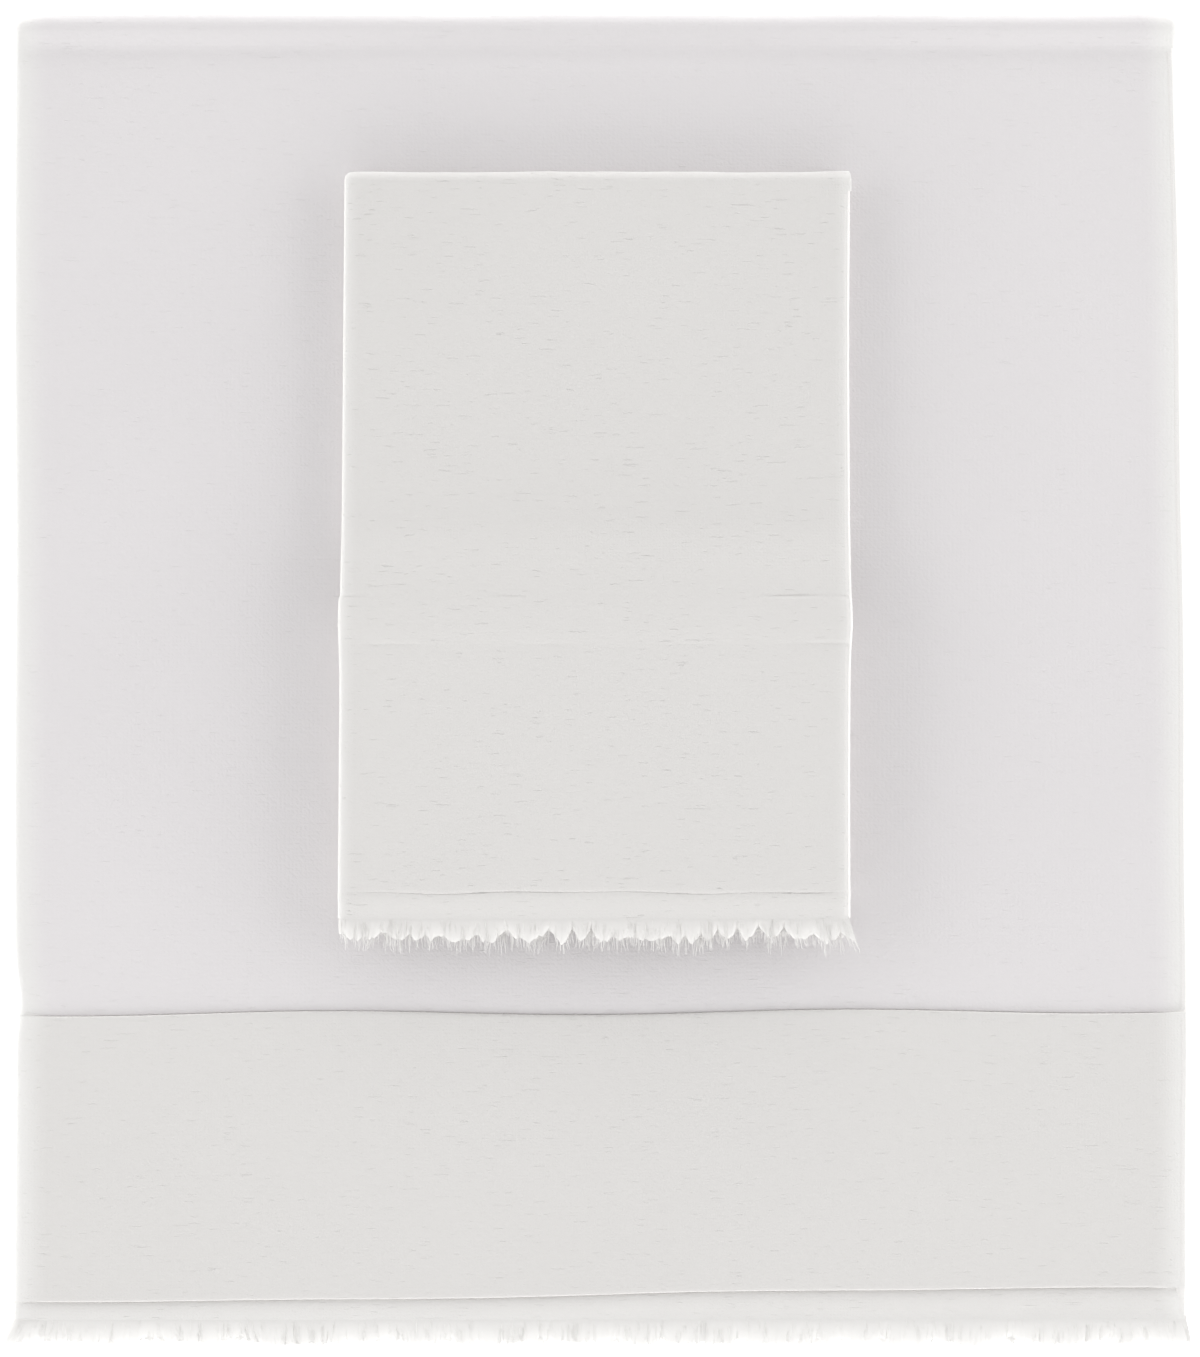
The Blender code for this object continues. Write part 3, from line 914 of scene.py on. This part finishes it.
def lay_fringe(ply, layer, tuft, towards, seed, surface=None, sag=0.0, flare=(0, 0), strays=()):
    """Where the weft was drawn out: the warp yarns mat into soft tufts, with loose yarns on them.

    tuft is (mean width, how deep the notches cut in, how much of the reach is matted, painted
    light at the root), towards the direction along y, flare how far the corners spread to the left
    and right, and strays the shares of the width at which one long yarn hangs out.
    """
    width, depth, matted, root_light = tuft
    name = f"{ply['body']}_fringe_{layer}"
    reach = fringe_reach(ply["body"] + "_fringe_top")
    settings = bpy.context.scene.towel_fringe
    draw = np.random.default_rng(settings.seed * 100 + seed)
    left, right = SIDE_EDGES[ply["body"]]
    root_y = ply["start"] if towards < 0 else ply["end"]
    low = ply["left"] + float(left(root_y)) + 0.6 * thickness(ply)
    high = ply["right"] + float(right(root_y)) - 0.3 * thickness(ply)
    columns = int((high - low) / settings.yarn_gap)
    root_x = np.linspace(low, high, columns)
    share, offset, pull = tuft_lengths(root_x, low, high, width, depth, draw)
    long = reach * np.clip(share, 0.3, 1.02)
    across = 2 * (root_x - low) / (high - low) - 1
    spread = np.where(across < 0, -flare[0], flare[1]) * np.abs(across) ** ((high - low) / (34 * MM))
    lean = spread - offset * pull
    rise = layer_rise(ply)
    level = middle(ply) + (rise if layer == "top" else -rise)
    root_z = level + 0 * root_x
    if layer == "top":
        root_z = root_z - open_edge_fall(ply, root_x, float(right(root_y)), shows(ply))
        inward = (root_x - low) / soft_edges(ply)[0]
        root_z = root_z - rise * shows(ply) * (1 - shoulder_level(inward))
    if surface:
        root_z = root_z + surface(root_x, root_y + 0 * root_x)
    thirds = np.arange(0, columns + 3, 3)
    bundle = np.interp(np.arange(columns), thirds, draw.uniform(-1, 1, len(thirds)))

    def along(root, shares):
        """The line that the yarn rooted at that column follows."""
        s = np.asarray(shares)
        x = root_x[root][:, None] + lean[root][:, None] * np.clip(s, 0, None) ** 1.1
        y = root_y + towards * long[root][:, None] * s
        z = root_z[root][:, None] - sag * np.clip(s, 0, None) ** 2
        return x, y, z

    shares = MAT_ROWS * matted * (1 + 0.10 * bundle[:, None])
    x, y, z = along(np.arange(columns), shares)
    uneven = 1 + 0.04 * bundle[:, None] * smooth(3 * MAT_ROWS + 0.3)
    half = thickness(ply) / 2 * MAT_THICKNESS * uneven
    mat = np.stack([x, y, z + 0.06 * MM * bundle[:, None] * np.sin(3 * shares)], axis=2)
    if towards > 0:
        mat, half = mat[::-1], half[::-1]
    vertices, faces = shell_mesh(mat, half)

    count = int((high - low) * 100 * settings.yarns_per_cm)
    root = draw.integers(0, columns, count)
    travel = np.linspace(0, 1, len(YARN_TAPER))
    start = draw.uniform(0.0, 0.75 * matted, count)
    stop = np.clip(start + draw.uniform(0.25, 0.9, count), matted, 1.04)
    loose = np.array([int(share * (columns - 1)) for share in strays], dtype=int)
    root[:len(loose)], start[:len(loose)] = loose, 0.3
    stop[:len(loose)] = 1.02 * reach / long[loose]
    shares = start[:, None] + (stop - start)[:, None] * travel
    x, y, z = along(root, shares)
    past = np.clip(shares - 0.6 * matted, 0, None)
    gather = -0.5 * MM * np.sin(2 * math.pi * root_x[root] / (1.7 * MM))
    x = x + (draw.normal(0, 1.1 * MM, count) + gather)[:, None] * past**1.3
    x = x + draw.normal(0, 0.22 * MM, count)[:, None] * np.sin(5 * travel)
    x = np.clip(x, low - flare[0] - 0.5 * MM, high + flare[1] + 0.5 * MM)
    local = np.interp(shares.ravel() / matted, MAT_ROWS, MAT_THICKNESS).reshape(shares.shape)
    side = draw.choice(YARN_SIDES, count)
    z = z + side[:, None] * (thickness(ply) / 2 * local * 0.95 + 0.05 * MM)
    y = np.clip(y, root_y - 1.08 * reach, root_y + 1.08 * reach)
    radii = settings.yarn / 2 * draw.uniform(0.7, 1.2, count)[:, None] * YARN_TAPER
    more, extra = tube_mesh(np.stack([x, y, z], axis=2), radii)
    extra = [[v + len(vertices) for v in face] for face in extra]
    piece = make_object(name + "_yarns", np.concatenate([vertices, more]), faces + extra)
    # painted light: the yarns' colour goes from the band's tone at the roots to their own paler tone at the
    # tips
    paint_light_between(piece, root_y, root_y + towards * reach, root_light, 1.0 if is_bath(ply) else 0.85)
    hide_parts(name)
    return finish_piece(piece, "fringe_yarn", ply["body"])


def lay_thread(name, ply, line, surface, depth):
    """Two-ply thread along a seam, lying in the groove between its panels."""
    shoulder, _ = soft_edges(ply)
    low = ply["left"] + shoulder
    high = ply["right"] - 2 * thickness(ply)
    x = np.linspace(low, high, 420)
    y = line(x)
    z = ply["top"] + surface(x, y) - depth
    strands = []
    for phase in (0, math.pi):
        angle = 2 * math.pi * x / THREAD_PITCH + phase
        sideways, up = STRAND_OFFSET * np.cos(angle), STRAND_OFFSET * np.sin(angle)
        strands.append(np.stack([x, y + sideways, z + up], axis=1))
    radii = np.full((2, len(x)), STRAND_RADIUS)
    piece = make_object(name + "_twist", *tube_mesh(np.array(strands), radii, sides=5))
    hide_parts(name)
    return finish_piece(piece, "sewing_thread", ply["body"])


# ---------------------------------------------------------------- operators

DONE = {"FINISHED"}


class TOWELS_OT_bath_upper(Operator):
    """Lay the bath towel's upper ply: field, border band, header, selvedges and seam threads"""
    bl_idname = "towels.bath_upper"
    bl_label = "Bath towel, upper ply"

    def execute(self, context):
        ply = BATH_UPPER
        gap = BATH_GAP
        join = fold_join("bath_upper_unfold", BATH_RUN)
        band_line, header_line = float(band_seam(0.0)), float(header_seam(0.0))
        field, flat = lay_ply(
            "field", ply, "bath_cloth", lambda x: band_seam(x) + gap, join, field_surface,
            150, 3.5 * MM, "rf",
            [(band_line + 4 * MM, 5 * MM, 0.8 * MM), (join, 14 * MM, 1 * MM)],
        )
        band, band_flat = lay_ply(
            "border", ply, "border_cloth", lambda x: header_seam(x) + gap,
            lambda x: band_seam(x) - gap, band_surface, 150, 3 * MM, "rr",
        )
        header, _ = lay_ply(
            "header", ply, "border_cloth", ply["start"],
            lambda x: header_seam(x) - gap, header_surface, 150, 1 * MM, "fr",
        )
        # painted light: the header's colour pales towards the fringe, for light through the thin cloth
        paint_light_between(header, header_line, ply["start"], 0.0, 0.45)
        threads = [
            lay_thread("bath_border_seam_thread", ply, band_seam, bath_surface, BATH_THREAD_DEPTH),
            lay_thread(
                "bath_header_seam_thread", ply, header_seam, bath_surface, BATH_THREAD_DEPTH
            ),
        ]
        top = lay_selvedge(
            "bath_upper_selvedge_top", ply, "top", upper_surface, ply["start"], ply["end"] - 6 * MM, 240
        )
        under = lay_selvedge(
            "bath_upper_selvedge_under", ply, "under", bath_surface, ply["start"],
            ply["end"] - 6 * MM, 60,
        )
        fringes = [
            lay_fringe(
                ply, "top", (22 * MM, 0.2, 0.9, 0.62), -1, 1, header_surface, 3.2 * MM,
                (7.0 * MM, 3.2 * MM), (0.905, 0.31),
            ),
            lay_fringe(
                ply, "under", (14 * MM, 0.18, 0.85, 0.7), -1, 2, None, 3.5 * MM, (5.0 * MM, 2.0 * MM)
            ),
        ]
        return DONE


class TOWELS_OT_bath_middle(Operator):
    """Lay the bath towel's middle ply and its selvedges"""
    bl_idname = "towels.bath_middle"
    bl_label = "Bath towel, middle ply"

    def execute(self, context):
        ply = BATH_MIDDLE
        surface = flat_surface(51)
        start = fold_join("bath_middle_unfold", LOW_RUN)
        end = fold_join("bath_upper_unfold", BATH_RUN)
        field, flat = lay_ply(
            "field", ply, "bath_cloth", start, end, surface, 40, 10 * MM, "ff"
        )
        edges = lay_selvedges(ply, surface, start, end, 60)
        return DONE


class TOWELS_OT_bath_lower(Operator):
    """Lay the bath towel's lower ply, whose fringed end is hidden under the top fold"""
    bl_idname = "towels.bath_lower"
    bl_label = "Bath towel, lower ply"

    def execute(self, context):
        ply = BATH_LOWER
        surface = flat_surface(53)
        join = fold_join("bath_middle_unfold", LOW_RUN)
        border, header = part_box("bath_lower_border"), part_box("bath_lower_header")
        panels = (
            ("field", "bath_cloth", join, border[0][1], "fr", 10 * MM),
            ("border", "border_cloth", border[0][1], border[1][1], "rr", 8 * MM),
            ("header", "border_cloth", header[0][1], header[1][1], "rf", 3 * MM),
        )
        edges = lay_selvedges(ply, surface, join, ply["end"], 60)
        (field, flat), (band, band_flat), (hem, _) = [
            lay_ply(part, ply, slot, start, end, surface, 40, coarse, rims)
            for part, slot, start, end, rims, coarse in panels
        ]
        tuft = (14 * MM, 0.2, 0.8, 0.5)
        fringes = [lay_fringe(ply, "top", tuft, 1, 3), lay_fringe(ply, "under", tuft, 1, 4)]
        return DONE


class TOWELS_OT_bath_folds(Operator):
    """Wrap the cloth round the bath towel's two folds"""
    bl_idname = "towels.bath_folds"
    bl_label = "Bath towel, folds"

    def execute(self, context):
        top, flat = lay_fold(
            "bath_top_fold", BATH_UPPER, "bath_upper_unfold", BATH_RUN, (2.4 * MM, 0.2),
            field_surface, 150,
        )
        bottom, flat = lay_fold(
            "bath_bottom_fold", BATH_MIDDLE, "bath_middle_unfold", LOW_RUN, (1.6 * MM, 0.35),
            flat_surface(55), 90,
        )
        return DONE


class TOWELS_OT_hand_upper(Operator):
    """Lay the hand towel's upper ply: field, header, selvedges and hemstitch"""
    bl_idname = "towels.hand_upper"
    bl_label = "Hand towel, upper ply"

    def execute(self, context):
        ply = HAND_UPPER
        gap = HAND_GAP
        join = fold_join("hand_upper_unfold", LOW_RUN)
        field, flat = lay_ply(
            "field", ply, "hand_cloth", lambda x: hand_seam(x) + gap, join,
            hand_surface, 110, 2.5 * MM, "rf", [(FLAP_TIPS - 10 * MM, 15 * MM, 0.6 * MM)],
        )
        header, _ = lay_ply(
            "header", ply, "hand_cloth", ply["start"],
            lambda x: hand_seam(x) - gap, hand_surface, 110, 1 * MM, "fr",
        )
        # painted light: the header's colour pales towards the fringe, for light through the thin cloth
        paint_light_between(header, HAND_HEM, ply["start"], 0.0, 0.2)
        thread = lay_thread("hand_hemstitch_thread", ply, hand_seam, hand_surface, HAND_THREAD_DEPTH)
        edges = lay_selvedges(ply, hand_surface, ply["start"], join, 200)
        fringes = [
            lay_fringe(
                ply, "top", (10 * MM, 0.42, 0.66, 0.2), -1, 5, hand_surface, 3.8 * MM,
                (3.0 * MM, 4.0 * MM), (0.42, 0.66),
            ),
            lay_fringe(
                ply, "under", (7 * MM, 0.5, 0.55, 0.2), -1, 6, hand_surface, 4.5 * MM,
                (1.5 * MM, 3.0 * MM),
            ),
        ]
        return DONE


class TOWELS_OT_hand_flap(Operator):
    """Lay the fringed end that is tucked inside the hand towel"""
    bl_idname = "towels.hand_flap"
    bl_label = "Hand towel, tucked flap"

    def execute(self, context):
        ply = HAND_FLAP
        surface = flat_surface(61)
        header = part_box("hand_flap_header")
        join = fold_join("hand_flap_unfold", LOW_RUN)
        edges = lay_selvedges(ply, surface, join, ply["end"], 40)
        field, flat = lay_ply(
            "field", ply, "hand_cloth", join, header[0][1], surface,
            30, 8 * MM, "fr",
        )
        hem, _ = lay_ply(
            "header", ply, "hand_cloth", header[0][1], header[1][1],
            surface, 30, 3 * MM, "rf",
        )
        tuft = (9 * MM, 0.35, 0.6, 0.35)
        fringes = [lay_fringe(ply, "top", tuft, 1, 7), lay_fringe(ply, "under", tuft, 1, 8)]
        return DONE


class TOWELS_OT_hand_lower(Operator):
    """Lay the hand towel's lower ply, which rests on the bath towel"""
    bl_idname = "towels.hand_lower"
    bl_label = "Hand towel, lower ply"

    def execute(self, context):
        ply = HAND_LOWER
        surface = flat_surface(63)
        start = fold_join("hand_flap_unfold", LOW_RUN)
        end = fold_join("hand_upper_unfold", LOW_RUN)
        field, flat = lay_ply(
            "field", ply, "hand_cloth", start, end, surface, 30,
            8 * MM, "ff",
        )
        edges = lay_selvedges(ply, surface, start, end, 60)
        return DONE


class TOWELS_OT_hand_folds(Operator):
    """Wrap the cloth round the hand towel's two folds"""
    bl_idname = "towels.hand_folds"
    bl_label = "Hand towel, folds"

    def execute(self, context):
        top, flat = lay_fold(
            "hand_top_fold", HAND_UPPER, "hand_upper_unfold", LOW_RUN, HAND_CORNER, hand_surface, 110
        )
        bottom, flat = lay_fold(
            "hand_bottom_fold", HAND_FLAP, "hand_flap_unfold", LOW_RUN, HAND_CORNER,
            flat_surface(65), 50,
        )
        return DONE


class TOWELS_OT_studio(Operator):
    """Set up the pale floor, the soft light and the camera straight above"""
    bl_idname = "towels.studio"
    bl_label = "Studio"

    def execute(self, context):
        floor_material = bpy.data.materials.new("opal_acrylic_floor")
        floor_material.use_nodes = True
        shader = floor_material.node_tree.nodes["Principled BSDF"]
        tone = (*context.scene.towel_colours.floor, 1.0)
        matt = {
            "Base Color": tone, "Roughness": 1.0, "Specular IOR Level": 0.0,
            "Emission Color": tone, "Emission Strength": FLOOR_GLOW,
        }
        for name, value in matt.items():
            shader.inputs[name].default_value = value
        corners = np.array([(-1, -1, 0), (1, -1, 0), (1, 1, 0), (-1, 1, 0)]) * FLOOR_SIDE
        floor = make_object("studio_floor", corners, [[0, 1, 2, 3]])
        floor.location.z = CAD_BOX[0][2] - FLOOR_GAP
        floor.data.materials.append(floor_material)

        world = bpy.data.worlds.new("soft_studio")
        world.use_nodes = True
        tree = world.node_tree
        place = add_node(tree, "ShaderNodeTexCoord")
        height = add_node(tree, "ShaderNodeSeparateXYZ", links={"Vector": (place, "Generated")})
        glow = add_node(
            tree, "ShaderNodeMapRange", {"interpolation_type": "SMOOTHSTEP"}, SKY_GLOW,
            {"Value": (height, "Z")},
        )
        background = tree.nodes["Background"]
        background.inputs["Color"].default_value = (1.0, 1.0, 1.0, 1.0)
        tree.links.new(glow.outputs["Result"], background.inputs["Strength"])
        context.scene.world = world
        for where, energy, turn in SOFTBOXES:
            light = bpy.data.lights.new(where + "_softbox", "AREA")
            light.shape = "RECTANGLE"
            light.size, light.size_y = SOFTBOX_SIZE
            light.energy = energy
            lamp = bpy.data.objects.new(where + "_softbox", light)
            around = math.radians(turn)
            x, y = SOFTBOX_AWAY * math.sin(around), -SOFTBOX_AWAY * math.cos(around)
            lamp.location = (x, y, SOFTBOX_HEIGHT)
            lamp.rotation_euler = (math.radians(SOFTBOX_TILT), 0.0, around)
            context.scene.collection.objects.link(lamp)

        lens = bpy.data.cameras.new("overhead_camera")
        lens.lens = LENS
        lens.sensor_width = SENSOR
        camera = bpy.data.objects.new("overhead_camera", lens)
        camera.location = (*VIEW_CENTRE, BATH_UPPER["top"] + VIEW_WIDTH * LENS / SENSOR)
        context.scene.collection.objects.link(camera)
        context.scene.camera = camera
        context.scene.view_settings.view_transform = "Standard"
        return DONE


class TOWELS_PT_panel(Panel):
    """Lists the towels' pieces and settings"""
    bl_idname = "TOWELS_PT_panel"
    bl_label = "Folded towel set"
    bl_space_type = "VIEW_3D"
    bl_region_type = "UI"
    bl_category = "Towels"

    def draw(self, context):
        for group in ("towel_cloth", "towel_fringe", "towel_colours"):
            box = self.layout.box()
            settings = getattr(context.scene, group)
            for name in settings.bl_rna.properties.keys():
                if name not in ("rna_type", "name"):
                    box.prop(settings, name)
        for operator in OPERATORS:
            self.layout.operator(operator.bl_idname)


OPERATORS = (
    TOWELS_OT_studio,
    TOWELS_OT_bath_lower,
    TOWELS_OT_bath_middle,
    TOWELS_OT_bath_upper,
    TOWELS_OT_bath_folds,
    TOWELS_OT_hand_lower,
    TOWELS_OT_hand_flap,
    TOWELS_OT_hand_upper,
    TOWELS_OT_hand_folds,
)
SETTINGS = {
    "towel_cloth": TowelClothSettings,
    "towel_fringe": TowelFringeSettings,
    "towel_colours": TowelColourSettings,
}


def register():
    for name, group in SETTINGS.items():
        bpy.utils.register_class(group)
        setattr(bpy.types.Scene, name, PointerProperty(type=group))
    for cls in (*OPERATORS, TOWELS_PT_panel):
        bpy.utils.register_class(cls)


def unregister():
    for cls in (TOWELS_PT_panel, *reversed(OPERATORS)):
        bpy.utils.unregister_class(cls)
    for name, group in SETTINGS.items():
        delattr(bpy.types.Scene, name)
        bpy.utils.unregister_class(group)


def main():
    register()
    for operator in OPERATORS:
        group, name = operator.bl_idname.split(".")
        getattr(getattr(bpy.ops, group), name)()


if __name__ == "__main__":
    main()
